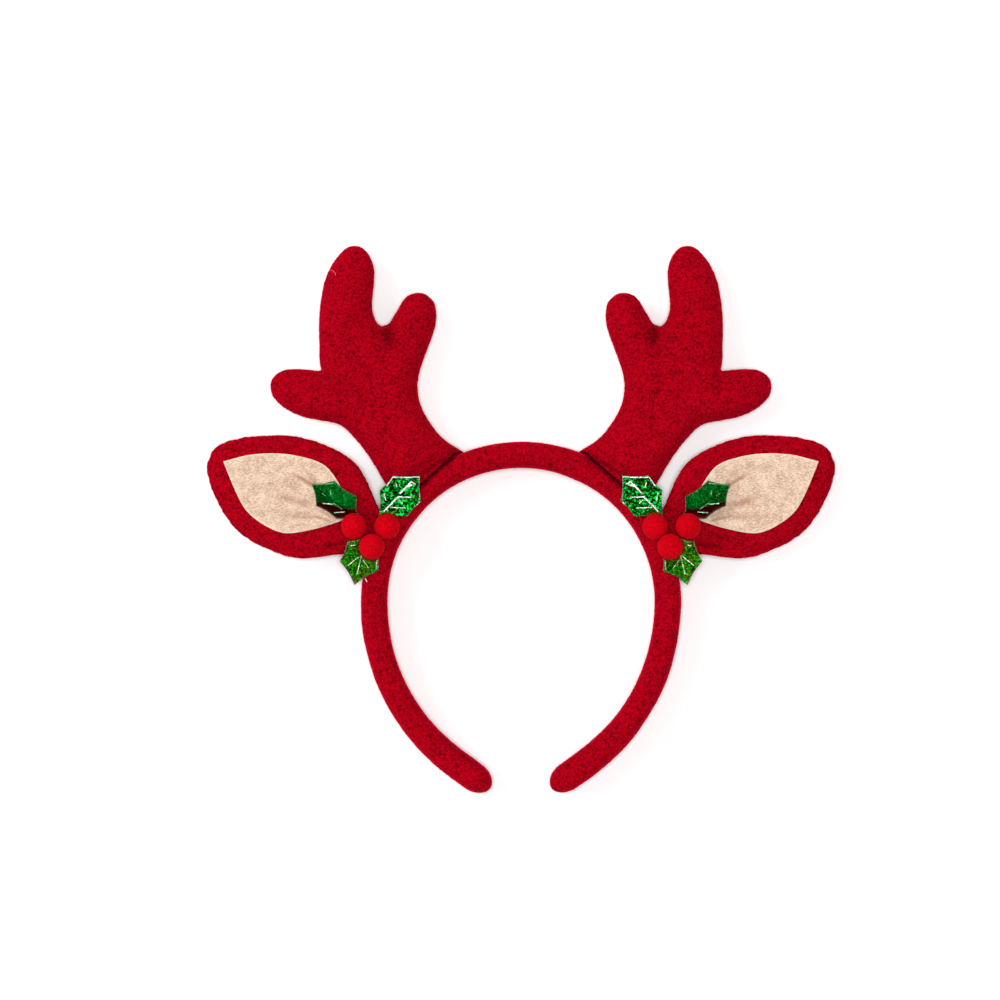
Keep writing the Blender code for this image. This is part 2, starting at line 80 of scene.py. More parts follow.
def soft_noise(points, pitch, seed):
    """Smooth hills and hollows from about -1 to 1, pitch apart."""
    scaled = points / pitch
    base = np.floor(scaled).astype(np.int64)
    part = scaled - base
    ease = part * part * (3 - 2 * part)
    total = np.zeros(len(points))
    for corner in np.ndindex(2, 2, 2):
        weight = np.prod(np.where(corner, ease, 1 - ease), axis=-1)
        total += weight * cell_numbers(base + corner, seed)[:, 0]
    return 2 * total - 1


def tufts(points, pitch, seed):
    """Round tufts pitch apart: 1 on the middle of each, 0 in the gaps.
    Also returns the three numbers of each point's tuft."""
    scaled = points / pitch
    base = np.floor(scaled).astype(np.int64)
    nearest = np.full(len(points), np.inf)
    own = np.zeros((len(points), 3))
    for step in np.ndindex(3, 3, 3):
        cells = base + np.array(step) - 1
        numbers = cell_numbers(cells, seed)
        away = np.linalg.norm(scaled - cells - numbers, axis=1)
        closer = away < nearest
        nearest[closer] = away[closer]
        own[closer] = numbers[closer]
    return np.clip(1 - nearest, 0, 1), own


def smooth_step(value, low, high):
    part = np.clip((value - low) / (high - low), 0, 1)
    return part * part * (3 - 2 * part)


def crease(places, start, end, width):
    """1 on the straight line between two places in plan, fading to 0 beside it and towards its end.
    Start, end and width are in mm."""
    start, end = np.array(start) * MM, np.array(end) * MM
    line = end - start
    length = np.linalg.norm(line)
    along = (places[:, :2] - start) @ line / length**2
    nearest = start + np.outer(np.clip(along, 0, 1), line)
    away = np.linalg.norm(places[:, :2] - nearest, axis=1)
    return np.exp(-((away / (width * MM)) ** 2)) * smooth_step(1 - along, 0, 0.5)


# Meshes


def points_of(mesh):
    points = np.empty(len(mesh.vertices) * 3)
    mesh.vertices.foreach_get("co", points)
    return points.reshape(-1, 3)


def normals_of(mesh):
    normals = np.empty(len(mesh.vertices) * 3)
    mesh.vertex_normals.foreach_get("vector", normals)
    return normals.reshape(-1, 3)


def move_points(mesh, points):
    mesh.vertices.foreach_set("co", points.astype(np.float32).ravel())
    mesh.update()


def keep_value(mesh, name, values):
    """Stores a value for each point of the skin, for its material."""
    layer = mesh.attributes.new(name, "FLOAT", "POINT")
    layer.data.foreach_set("value", values.astype(np.float32))


def new_piece(name, mesh):
    mesh.name = name
    piece = bpy.data.objects.new(name, mesh)
    bpy.context.scene.collection.objects.link(piece)
    mesh.polygons.foreach_set("use_smooth", [True] * len(mesh.polygons))
    return piece


def mesh_from(points, faces):
    mesh = bpy.data.meshes.new("skin")
    mesh.from_pydata([tuple(p) for p in points], [], [tuple(f) for f in faces])
    mesh.update()
    return mesh


def solid_copy(node):
    """A plain solid's mesh, with its split corners joined again."""
    shape = bmesh.new()
    shape.from_mesh(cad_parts[node].data)
    bmesh.ops.remove_doubles(shape, verts=shape.verts, dist=1e-6)
    mesh = bpy.data.meshes.new("form")
    shape.to_mesh(mesh)
    shape.free()
    return mesh


def with_modifier(mesh, kind, **settings):
    """The mesh that a modifier makes of this one."""
    piece = new_piece("work", mesh)
    modifier = piece.modifiers.new(kind.lower(), kind)
    for name, value in settings.items():
        setattr(modifier, name, value)
    made = bpy.data.meshes.new_from_object(piece.evaluated_get(bpy.context.evaluated_depsgraph_get()))
    bpy.data.objects.remove(piece)
    return made


def surface_of(mesh):
    points = [v.co.copy() for v in mesh.vertices]
    return BVHTree.FromPolygons(points, [tuple(p.vertices) for p in mesh.polygons])


def averaged(mesh, values, shares):
    """Values kept at a skin's points, drawn towards the mean of their neighbours by each share in turn."""
    ends = np.empty(len(mesh.edges) * 2, int)
    mesh.edges.foreach_get("vertices", ends)
    first, second = ends.reshape(-1, 2).T
    count = np.bincount(ends, minlength=len(values))[:, None]
    for share in shares:
        total = np.zeros_like(values)
        np.add.at(total, first, values[second])
        np.add.at(total, second, values[first])
        values = values + share * (total / count - values)
    return values


def smoothed(mesh, held, rounds):
    """Evens out the facets of a skin without shrinking it. Held points keep their place."""
    free = (1 - held)[:, None]
    move_points(mesh, averaged(mesh, points_of(mesh), (0.5 * free, -0.53 * free) * rounds))


def fitted(mesh, surface, rounds):
    """Brings an evened skin back out to a surface as a whole, without taking on the surface's facets."""
    points = points_of(mesh)
    gaps = np.array([surface.find_nearest(Vector(point))[0] for point in points]) - points
    move_points(mesh, points + averaged(mesh, gaps, (0.5,) * rounds))


def pulled_to(surface, points, share):
    """The points moved part of the way to the nearest place on a surface."""
    moved = points.copy()
    for index in np.flatnonzero(share > 0.01):
        nearest = np.array(surface.find_nearest(Vector(points[index]))[0])
        moved[index] += share[index] * (nearest - points[index])
    return moved


def heights_over(surface, places):
    """How high a surface is at each place in plan, looking down on it; beside it, the nearest height."""
    heights = []
    for x, y in places:
        hit = surface.ray_cast(Vector((x, y, 0.1)), Vector((0, 0, -1)))[0]
        if hit is None:
            hit = surface.find_nearest(Vector((x, y, MID_HEIGHT)))[0]
        heights.append(hit.z)
    return np.array(heights)


def mirror_image(piece, name):
    mesh = piece.data.copy()
    mesh.transform(Matrix.Scale(-1, 4, (1, 0, 0)))
    mesh.flip_normals()
    return new_piece(name, mesh)


# Stuffed fleece

CLOTH_SCALE = 20  # the cloth is worked out this much larger, at the size of a cushion
CLOTH_FRAMES = 20
PRESSURE = 4.0  # of the stuffing


def filled(mesh, sewn, slack, swell):
    """The skin after its stuffing has pushed it out, without drawing its sides in. Sewn points stay.
    The cloth is cut smaller by the slack. Swell caps the move in plan and in height."""
    rest = points_of(mesh)
    slim = rest - normals_of(mesh) * slack * (1 - sewn)[:, None]
    scene = bpy.context.scene
    big = mesh.copy()
    move_points(big, slim * CLOTH_SCALE)
    piece = new_piece("work", big)
    group = piece.vertex_groups.new(name="sewn")
    for index in np.flatnonzero(sewn > 0.02):
        group.add([int(index)], float(sewn[index]), "REPLACE")
    cloth = piece.modifiers.new("stuffing", "CLOTH")
    cloth.settings.quality = 4
    cloth.settings.use_pressure = True
    cloth.settings.uniform_pressure_force = PRESSURE
    cloth.settings.effector_weights.gravity = 0
    cloth.settings.vertex_group_mass = "sewn"
    cloth.collision_settings.use_collision = False
    for step in range(1, CLOTH_FRAMES + 1):
        scene.frame_set(step)
    blown = piece.evaluated_get(bpy.context.evaluated_depsgraph_get()).to_mesh()
    pushed = points_of(blown) / CLOTH_SCALE - rest
    bpy.data.objects.remove(piece)
    scene.frame_set(1)
    outwards = normals_of(mesh)[:, :2]
    pushed[:, :2] -= np.minimum((pushed[:, :2] * outwards).sum(axis=1), 0)[:, None] * outwards
    sideways = np.linalg.norm(pushed[:, :2], axis=1)
    most_sideways, most_upwards = swell
    pushed[:, :2] *= np.minimum(1, most_sideways / np.maximum(sideways, 1e-9))[:, None]
    pushed[:, 2] = np.clip(pushed[:, 2], -most_upwards, most_upwards)
    return rest + pushed


def stuffed_skin(node, grid, sewn, slack, swell):
    """A smooth fine skin over a solid, filled and halved twice."""
    solid = solid_copy(node)
    surface = surface_of(solid)
    mesh = with_modifier(solid, "REMESH", mode="VOXEL", voxel_size=grid)
    smoothed(mesh, sewn(points_of(mesh)), 9)
    fitted(mesh, surface, 5)
    move_points(mesh, filled(mesh, sewn(points_of(mesh)), slack, swell))
    return with_modifier(mesh, "SUBSURF", levels=2)


BAND_OUTSIDE = 64.1 * MM  # radius of the hoop's outer face, which antlers and ears are sewn to
BAND_ROUNDING = 4.2 * MM  # radius of the band's edges where a root is pressed on to them
PRESSED_IN = 1.1 * MM  # how far a sewn-on root sinks into the band's fleece

# Small corrections to the outlines in plan, in mm: place, move and how far it reaches
ANTLER_OUTLINE = (
    ((-26.4, 27.2), (2.6, -0.6), 3.6),
    ((-55.4, 78.9), (-0.6, -1.2), 3.0),
    ((-53.6, 79.0), (1.2, 0.0), 2.6),
    ((-50.6, 83.4), (0.8, 0.0), 4.5),
    ((-32.5, 76.0), (0.4, 0.0), 8.0),
    ((-75.5, 96.0), (-0.4, 0.3), 8.0),
    ((-80.6, 59.6), (0.9, -0.7), 1.8),
    ((-59.6, 91.6), (0.6, 0.0), 9.0),
    ((-39.0, 60.0), (0.6, 0.0), 14.0),
    ((-88.4, 42.8), (-0.1, -0.45), 10.0),
)
EAR_OUTLINE = (
    ((-65.0, 19.0), (0.8, 0.85), 9.0),
    ((-90.0, -15.2), (-0.15, -0.8), 11.0),
    ((-92.0, 31.0), (0.0, 0.3), 10.0),
)
LEAF_OUTLINE = {
    "leaf_upper": (),
    "leaf_outer": (((-62.2, -0.4), (-3.2, 2.8), 5.0), ((-67.2, 9.8), (1.2, -0.4), 3.0)),
    "leaf_lower": (((-61.4, -4.0), (0.0, -3.0), 4.0), ((-69.8, -11.2), (0.4, 2.0), 3.0)),
}

# Creases in the fleece, drawn in and darkened with painted shade: start and end in plan, and half width, in
# mm
CROTCH_CREASE = ((-54.4, 78.5), (-51.6, 65.5), 2.6)
CORNER_CREASE = ((-81.2, 59.6), (-74.5, 55.0), 1.5)
EAR_CREASE_BELOW = ((-71.0, -9.4), (-82.0, -12.6), 1.1)
EAR_CREASE_ABOVE = ((-68.5, 4.5), (-74.0, 12.0), 1.1)

# The antler's foot laps over the band's front up to this line in plan, in mm
FOOT_LINE = ((-25.2, 26.4), (-40.0, 13.4))
FOOT_FLOOR = 13.5 * MM  # the height that the foot presses the band's front down to


def from_band(places):
    """How far each place is outside the hoop's outer face, in plan."""
    return np.linalg.norm(places[:, :2] - CROWN, axis=1) - BAND_OUTSIDE


def foot_line(places):
    """How far each place lies beyond the foot line, on the antler's side of it,
    and 1 within the line's length."""
    left = np.column_stack([-np.abs(places[:, 0]), places[:, 1]])
    start, end = (np.array(place) * MM for place in FOOT_LINE)
    line = end - start
    beyond = (left - start) @ np.array((line[1], -line[0])) / np.linalg.norm(line)
    along = (left - start) @ line / (line @ line)
    return beyond, smooth_step(along, -0.08, 0.12) * (1 - smooth_step(along, 1.05, 1.35))


def sewn_to_band(mesh, node, reach):
    """Brings the root of a stuffed piece back to its solid, and presses it on to the rounded band."""
    places = points_of(mesh)
    near = 1 - smooth_step(from_band(places), 0.4 * reach, reach)
    places = pulled_to(surface_of(solid_copy(node)), places, near)
    over = np.clip(np.abs(places[:, 2] - MID_HEIGHT) - (MID_HEIGHT - BAND_ROUNDING), 0, BAND_ROUNDING)
    hollow = BAND_ROUNDING - np.sqrt(BAND_ROUNDING**2 - over**2)
    touching = 1 - smooth_step(from_band(places), 0.1 * MM, 1.2 * MM)
    outwards = places[:, :2] - CROWN
    outwards /= np.linalg.norm(outwards, axis=1)[:, None]
    places[:, :2] -= outwards * (touching * (hollow + PRESSED_IN))[:, None]
    move_points(mesh, places)


def lapped_over_band(mesh):
    """Draws the front of an antler's foot out over the band, as far as the foot line."""
    places = points_of(mesh)
    beyond, within = foot_line(places)
    root = 1 - smooth_step(from_band(places), -0.8 * MM, 5 * MM)
    front = smooth_step(places[:, 2], FOOT_FLOOR - 1.2 * MM, FOOT_FLOOR + 0.6 * MM)
    inwards = CROWN - places[:, :2]
    inwards /= np.linalg.norm(inwards, axis=1)[:, None]
    places[:, :2] += inwards * (root * front * within * np.clip(beyond, 0, 3.6 * MM))[:, None]
    move_points(mesh, places)


def drawn_out(mesh, corrections):
    """Corrects the outline by moves in plan that each fade away over their reach."""
    places = points_of(mesh)
    moves = np.zeros((len(places), 2))
    for place, move, reach in corrections:
        away = np.linalg.norm(places[:, :2] - np.array(place) * MM, axis=1)
        moves += np.exp(-((away / (reach * MM)) ** 2))[:, None] * np.array(move) * MM
    places[:, :2] += moves
    move_points(mesh, places)


def napped(mesh, seed, dent, shade, lumps=0.16):
    """Gives a fleece skin its soft lumps and its tufts. Dent is how far it is drawn in at each point,
    and shade is the painted shade that darkens its colour there, in creases, seams and at the antler's foot."""
    places, outward = points_of(mesh), normals_of(mesh)
    bent = places + 0.25 * MM * np.stack([soft_noise(places, 1.3 * MM, seed + i) for i in range(3)], axis=1)
    pile, _ = tufts(bent, 1.25 * MM, seed + 5)
    clumps = soft_noise(places, 2.4 * MM, seed + 6)
    relief = lumps * MM * soft_noise(places, 11 * MM, seed + 7) + 0.05 * MM * clumps
    relief += 0.2 * MM * (pile - 0.4) - dent
    move_points(mesh, places + outward * relief[:, None])
    keep_value(mesh, "pile", np.clip(0.5 + 1.2 * (pile - 0.42) + 0.1 * clumps, 0, 1))
    # Painted shade: darkens the fleece's colour in its creases and seams and along the antler's foot
    keep_value(mesh, "painted_shade", np.clip(shade, 0, 1))


def seam(places, facing):
    """A narrow furrow at mid-height, drawn in a little more at each stitch."""
    off = (places[:, 2] - MID_HEIGHT - 0.25 * MM * soft_noise(places, 14 * MM, 71)) / (0.42 * MM)
    stitches = 0.75 + 0.25 * soft_noise(places, 2.2 * MM, 72)
    return np.exp(-off * off) * stitches * facing


def make_band():
    def sewn(places):
        return np.zeros(len(places))

    mesh = stuffed_skin("band", BAND_GRID, sewn, 0.15 * MM, (0.05 * MM, 0.4 * MM))
    places = points_of(mesh)
    beyond, within = foot_line(places)
    pressed = smooth_step(beyond, -1.7 * MM, 0.7 * MM) * within
    places[:, 2] -= pressed * np.maximum(places[:, 2] - FOOT_FLOOR, 0)
    move_points(mesh, places)
    outward = normals_of(mesh)
    inward = CROWN - places[:, :2]
    inward /= np.linalg.norm(inward, axis=1)[:, None]
    facing = smooth_step((outward[:, :2] * inward).sum(axis=1), 0.6, 0.9)
    furrow = seam(places, facing)
    # Painted shade along the seam and along the line where the antler's foot lies over the band
    foot = within * np.exp(-((beyond / (1.0 * MM)) ** 4)) * smooth_step(places[:, 2], 10 * MM, 12 * MM)
    napped(mesh, 11, 0.55 * MM * furrow, 0.6 * furrow + foot)
    return new_piece("fleece_band", mesh)


def make_antler():
    def sewn(places):
        return 1 - smooth_step(from_band(places), 0.5 * MM, 4 * MM)

    mesh = stuffed_skin("left_antler", ANTLER_GRID, sewn, 0.05 * MM, (0.5 * MM, 1.3 * MM))
    sewn_to_band(mesh, "left_antler", 5 * MM)
    lapped_over_band(mesh)
    drawn_out(mesh, ANTLER_OUTLINE)
    places, outward = points_of(mesh), normals_of(mesh)
    front = smooth_step(np.abs(outward[:, 2]), 0.1, 0.6)
    furrow = seam(places, smooth_step(1 - np.abs(outward[:, 2]), 0.3, 0.7))
    crotch = crease(places, *CROTCH_CREASE) * front
    corner = crease(places, *CORNER_CREASE) * front
    beyond, within = foot_line(places)
    from_root = within * beyond + (1 - within) * from_band(places)
    foot = (1 - smooth_step(from_root, -0.4 * MM, 2.8 * MM)) ** 2 * front
    fold = np.exp(-((from_root / (1.0 * MM)) ** 4)) * front
    dent = 0.5 * furrow + 0.9 * crotch + 0.5 * corner + 1.2 * foot
    # Painted shade in the seam, the crotch and corner creases, and a dark painted line at the foot's fold
    # against the band
    shade = 0.5 * furrow + 0.55 * crotch + 0.25 * corner + 0.55 * foot + 0.8 * fold
    napped(mesh, 23, dent * MM, shade, 0.3)
    return new_piece("left_fleece_antler", mesh)


def make_ear():
    """The left ear, and its surface under the nap, which the felt lies on."""
    def sewn(places):
        return 1 - smooth_step(from_band(places), 2 * MM, 12 * MM)

    mesh = stuffed_skin("left_ear", EAR_GRID, sewn, 0.0, (0.5 * MM, 0.5 * MM))
    sewn_to_band(mesh, "left_ear", 5 * MM)
    drawn_out(mesh, EAR_OUTLINE)
    smooth = surface_of(mesh)
    places, outward = points_of(mesh), normals_of(mesh)
    front = smooth_step(np.abs(outward[:, 2]), 0.1, 0.6)
    furrow = seam(places, smooth_step(1 - np.abs(outward[:, 2]), 0.3, 0.7))
    below = crease(places, *EAR_CREASE_BELOW) * front
    above = crease(places, *EAR_CREASE_ABOVE) * front
    dent = 0.5 * furrow + 0.6 * below + 0.45 * above
    # Painted shade in the seam and in the creases below and above the holly
    shade = 0.5 * furrow + 0.35 * below + 0.25 * above
    napped(mesh, 37, dent * MM, shade, 0.2)
    return new_piece("left_fleece_ear", mesh), smooth


# Pieces cut from sheet


def top_rim(mesh):
    """The rim of a thin solid's upper side, as an ordered loop of places in plan, counterclockwise."""
    upper = [p for p in mesh.polygons if p.normal.z > 0.3]
    seen = {}
    for p in upper:
        for a, b in p.edge_keys:
            seen[(a, b)] = seen.get((a, b), 0) + 1
    following = {}
    for p in upper:
        ring = list(p.vertices)
        for a, b in zip(ring, ring[1:] + ring[:1]):
            if seen[(min(a, b), max(a, b))] == 1:
                following[a] = b
    first = min(following)
    loop = [first]
    while following[loop[-1]] != first:
        loop.append(following[loop[-1]])
    return np.array([mesh.vertices[i].co.xy for i in loop])


def rounded_rim(loop, step, corner):
    """The loop drawn as a smooth curve that keeps each corner sharper than this many degrees."""
    before, after = loop - np.roll(loop, 1, axis=0), np.roll(loop, -1, axis=0) - loop
    cross = before[:, 0] * after[:, 1] - before[:, 1] * after[:, 0]
    turn = np.abs(np.degrees(np.arctan2(cross, (before * after).sum(axis=1))))
    sharp = turn > corner
    drawn = []
    for i in range(len(loop)):
        a, b = loop[i], loop[(i + 1) % len(loop)]
        slope_a = (b - a) if sharp[i] else (b - loop[i - 1]) / 2
        slope_b = (b - a) if sharp[(i + 1) % len(loop)] else (loop[(i + 2) % len(loop)] - a) / 2
        count = max(1, round(float(np.linalg.norm(b - a)) / step))
        t = np.arange(count)[:, None] / count
        drawn.append(
            (2 * t**3 - 3 * t**2 + 1) * a
            + (t**3 - 2 * t**2 + t) * slope_a
            + (3 * t**2 - 2 * t**3) * b
            + (t**3 - t**2) * slope_b
        )
    return np.concatenate(drawn)


def rim_distance(places, rim):
    """How far each place is from the rim."""
    nearest = np.full(len(places), np.inf)
    for a, b in zip(rim, np.roll(rim, -1, axis=0)):
        along = np.clip((places - a) @ (b - a) / max((b - a) @ (b - a), 1e-18), 0, 1)
        nearest = np.minimum(nearest, np.linalg.norm(places - a - np.outer(along, b - a), axis=1))
    return nearest


def inside_rim(places, rim):
    """Whether each place is inside the rim, by counting the rim's crossings to its right."""
    within = np.zeros(len(places), bool)
    for a, b in zip(rim, np.roll(rim, -1, axis=0)):
        spans = (a[1] > places[:, 1]) != (b[1] > places[:, 1])
        crossing = a[0] + (places[:, 1] - a[1]) * (b[0] - a[0]) / (b[1] - a[1] if b[1] != a[1] else 1)
        within ^= spans & (places[:, 0] < crossing)
    return within


ROW_STEP = 0.866  # between the rows of an even grid of triangles, as a share of its pitch


def cut_sheet(rim, grid, top, bottom):
    """A sheet with this rim in plan: its upper and lower sides, each an even mesh, and its cut edge.
    Returns the mesh and, for each point, its place in plan and whether it is on the upper side."""
    low, high = rim.min(axis=0), rim.max(axis=0)
    rows = []
    for row, y in enumerate(np.arange(low[1], high[1], grid * ROW_STEP)):
        across = np.arange(low[0] + (row % 2) * grid / 2, high[0], grid)
        rows.append(np.stack([across, np.full(len(across), y)], axis=1))
    inner = np.concatenate(rows)
    inner = inner[inside_rim(inner, rim)]
    inner = inner[rim_distance(inner, rim) > grid * 0.5]
    count = len(rim)
    edges = [(i, (i + 1) % count) for i in range(count)]
    flat = [Vector(p) for p in np.concatenate([rim, inner])]
    places, _, faces, sources, _, _ = geometry.delaunay_2d_cdt(flat, edges, [], 1, 1e-8)
    places = np.array([list(p) for p in places])
    upper_heights, lower_heights = top(places), bottom(places)
    size = len(places)
    upper = np.column_stack([places, upper_heights])
    lower = np.column_stack([places, lower_heights])
    at = {s: i for i, source in enumerate(sources) for s in source if s < count}
    ring = [at[i] for i in range(count)]
    walls = [(a, a + size, b + size, b) for a, b in zip(ring, ring[1:] + ring[:1])]
    skins = [tuple(f) for f in faces] + [tuple(i + size for i in reversed(f)) for f in faces]
    mesh = mesh_from(np.concatenate([upper, lower]), skins + walls)
    return mesh, np.concatenate([places, places]), np.arange(2 * size) < size


FELT_THICKNESS = 1.15 * MM
# Start and end in plan, half width and depth, in mm; a deeper crease also gets darker painted shade
FELT_CREASES = (
    ((-81.5, 12.5), (-93.5, 19.6), 0.75, 0.5),
    ((-79.0, 10.0), (-88.0, 21.5), 0.6, 0.28),
    ((-76.5, -0.5), (-84.5, 1.5), 0.5, 0.4),
    ((-77.0, -2.2), (-83.0, -3.6), 0.45, 0.34),
    ((-76.0, 1.0), (-82.5, 4.6), 0.5, 0.32),
    ((-80.0, -5.4), (-90.0, -4.4), 0.7, 0.25),
    ((-86.0, 6.0), (-99.0, 10.0), 1.4, 0.3),
    ((-84.0, 1.0), (-101.0, 1.5), 1.3, 0.22),
)


def make_felt(ear_surface):
    """The left ear's felt, and the area of its outline in plan."""
    rim = rounded_rim(top_rim(solid_copy("left_inner_ear")), 0.45 * MM, 30)

    def bottom(places):
        return heights_over(ear_surface, places) + 0.3 * MM

    def top(places):
        flat = np.column_stack([places, np.zeros(len(places))])
        relief = 0.16 * soft_noise(flat, 7 * MM, 51) + 0.07 * soft_noise(flat, 2.6 * MM, 52)
        for start, end, width, depth in FELT_CREASES:
            relief -= depth * crease(flat, start, end, width)
            relief += 0.5 * depth * crease(flat + [0, 1.4 * width * MM, 0], start, end, width)
        edge = np.exp(-rim_distance(places, rim) / (0.35 * MM))
        return bottom(places) + FELT_THICKNESS + MM * (relief - 0.16 * edge)

    mesh, places, upper = cut_sheet(rim, SHEET_GRID, top, bottom)
    # Painted highlight along the felt's cut edge
    keep_value(mesh, "edge_highlight", np.exp(-rim_distance(places, rim) / (0.4 * MM)))
    flat = np.column_stack([places, np.zeros(len(places))])
    # Painted shade in the felt's creases, darker where a crease is deeper
    shade = sum(depth * crease(flat, start, end, width) for start, end, width, depth in FELT_CREASES)
    keep_value(mesh, "painted_shade", np.clip(shade / 0.5, 0, 1))
    piece = new_piece("left_felt_inner_ear", mesh)
    area = 0.5 * abs(np.sum(rim[:, 0] * np.roll(rim[:, 1], -1) - rim[:, 1] * np.roll(rim[:, 0], -1)))
    return piece, area


# Holly

# Veins and bright folded edges of each leaf: start and end in plan in mm, half width in mm, and brightness,
# which sets both how high it is raised and its painted highlight
LEAF_VEINS = {
    "leaf_upper": (
        (-54.7, 3.1, -49.0, 8.9, 0.30, 1.0),
        (-49.0, 8.9, -44.0, 8.7, 0.24, 1.0),
        (-48.3, 10.2, -43.7, 14.9, 0.32, 1.0),
        (-45.2, 13.0, -43.6, 13.6, 0.34, 1.0),
        (-44.0, 14.9, -42.2, 14.0, 0.22, 0.9),
        (-52.3, 4.7, -46.3, 4.4, 0.15, 0.8),
        (-50.0, 14.4, -49.6, 12.9, 0.15, 0.7),
        (-54.7, 10.1, -54.0, 7.4, 0.15, 0.8),
        (-48.6, 7.6, -47.5, 6.4, 0.14, 0.8),
        (-51.3, 16.7, -47.2, 16.6, 0.26, 1.0),
        (-46.6, 16.7, -43.6, 16.6, 0.26, 1.0),
        (-43.0, 16.8, -40.9, 16.8, 0.24, 0.9),
        (-51.5, 16.3, -53.6, 13.2, 0.26, 0.8),
        (-40.7, 16.5, -40.5, 7.6, 0.16, 0.2),
        (-40.6, 7.0, -42.6, 4.0, 0.20, 0.5),
    ),
    "leaf_outer": (
        (-76.3, 11.3, -76.0, 9.7, 0.12, 0.45),
        (-79.5, 10.3, -78.1, 9.3, 0.12, 0.4),
        (-79.1, 6.3, -75.2, 6.0, 0.16, 0.7),
        (-75.1, 6.6, -71.5, 4.0, 0.12, 0.5),
        (-74.6, 2.6, -70.4, 2.8, 0.17, 0.7),
        (-83.2, 13.7, -75.0, 14.3, 0.15, 0.3),
    ),
    "leaf_lower": (
        (-69.1, -18.6, -64.8, -15.2, 0.13, 0.9),
        (-63.8, -14.8, -64.6, -18.1, 0.10, 0.4),
        (-64.6, -18.1, -65.6, -22.3, 0.10, 0.65),
        (-63.2, -16.5, -60.9, -19.6, 0.10, 0.45),
        (-68.2, -12.1, -66.4, -11.0, 0.10, 0.5),
        (-65.6, -26.2, -62.6, -24.2, 0.18, 0.8),
        (-62.0, -23.9, -59.4, -22.2, 0.20, 0.95),
        (-72.4, -15.4, -71.2, -13.4, 0.14, 0.5),
        (-58.0, -20.5, -57.6, -16.5, 0.14, 0.35),
    ),
}

LEAF_HALF_THICKNESS = 0.3 * MM
LEAF_SINK = 0.5 * MM  # the middle of the foil under the solid's upper side
VEIN_RAISED = 0.22 * MM
FACET_PITCH = 1.3 * MM  # between the small flats of the crinkled foil

# The outer leaf is folded along this line in plan, in mm, and its lower half is in shade
FOLDED_DOWN = ((-70.8, 4.2), (-82.5, 7.2))

BERRIES = ("berry_outer", "berry_inner", "berry_lower")
BERRY_FULLNESS = 1.035  # how far the flock stands out over the solid, as a share of its radius


def berry_ball(name):
    """The centre and the radius of a left berry's solid."""
    low, high = (np.array(corner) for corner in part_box("left_" + name))
    return (low + high) / 2, (high - low)[0] / 2


def make_leaf(name):
    solid = solid_copy("left_" + name)
    surface = surface_of(solid)
    rim = rounded_rim(top_rim(solid), 0.3 * MM, 20)

    def vein_height(places):
        raised = np.zeros(len(places))
        for x0, y0, x1, y1, width, brightness in LEAF_VEINS[name]:
            start, line = np.array((x0, y0)) * MM, np.array((x1 - x0, y1 - y0)) * MM
            along = np.clip((places - start) @ line / (line @ line), 0, 1)
            away = np.linalg.norm(places - start - np.outer(along, line), axis=1)
            raised = np.maximum(raised, brightness * np.exp(-((away / (width * MM)) ** 4)))
        return raised

    def crinkle(places):
        flat = np.column_stack([places, np.zeros(len(places))])
        _, own = tufts(flat, FACET_PITCH, 91)
        scaled = flat / FACET_PITCH
        tilt = (own[:, :2] - 0.5) * (scaled - np.floor(scaled) - 0.5)[:, :2]
        return 0.16 * MM * tilt.sum(axis=1) + 0.07 * MM * soft_noise(flat, 1.7 * MM, 92)

    def middle(places):
        heights = heights_over(surface, places) - LEAF_SINK + crinkle(places)
        return heights + VEIN_RAISED * vein_height(places)

    def top(places):
        return middle(places) + LEAF_HALF_THICKNESS

    def bottom(places):
        return middle(places) - LEAF_HALF_THICKNESS

    mesh, places, upper = cut_sheet(rim, LEAF_GRID, top, bottom)
    # Painted highlights along the raised veins and along the cut edge, on the upper side
    keep_value(mesh, "vein_highlight", vein_height(places) * upper)
    keep_value(mesh, "edge_highlight", np.exp(-rim_distance(places, rim) / (0.22 * MM)))
    # Painted reflection of the red berries in the foil beside them; on the outer leaf also painted shade
    # over its folded-down half
    shaded = np.zeros(len(places))
    for berry in BERRIES:
        centre, radius = berry_ball(berry)
        beside = np.linalg.norm(places - centre[:2], axis=1) - radius
        shaded = np.maximum(shaded, 0.9 * (1 - smooth_step(beside, 0.2 * MM, 1.7 * MM)))
    if name == "leaf_outer":
        start, end = (np.array(place) * MM for place in FOLDED_DOWN)
        line = (end - start) / np.linalg.norm(end - start)
        below = (places - start) @ np.array((-line[1], line[0]))
        shaded = np.maximum(shaded, smooth_step(below, -0.25 * MM, 0.25 * MM))
    keep_value(mesh, "shaded", shaded * upper)
    drawn_out(mesh, LEAF_OUTLINE[name])
    return new_piece("left_foil_" + name, mesh)


def make_berry(name):
    centre, radius = berry_ball(name)
    shape = bmesh.new()
    bmesh.ops.create_icosphere(shape, subdivisions=6, radius=1)
    mesh = bpy.data.meshes.new(name)
    shape.to_mesh(mesh)
    shape.free()
    ball = points_of(mesh)
    seed = int(abs(centre[0]) * 1e5)
    flock, _ = tufts(ball * radius, 0.62 * MM, seed)
    swell = 0.012 * soft_noise(ball, 0.9, seed + 1) + 0.018 * (flock - 0.5)
    move_points(mesh, centre + ball * radius * (BERRY_FULLNESS + swell)[:, None])
    keep_value(mesh, "pile", np.clip(0.3 + 0.8 * flock, 0, 1))
    keep_value(mesh, "painted_shade", np.zeros(len(ball)))
    return new_piece("left_flocked_" + name, mesh)


# Loose bits on the left half: places along each in plan, and half width, in mm
GLUE_STRAND = (((-62.3, -23.6), (-62.0, -24.3), (-61.5, -25.2)), 0.22)
LINT = (((-76.0, 99.6), (-75.0, 99.2), (-74.3, 98.3), (-74.0, 97.2)), 0.06)
STRAND_STEPS = 12
STRAND_SIDES = 8


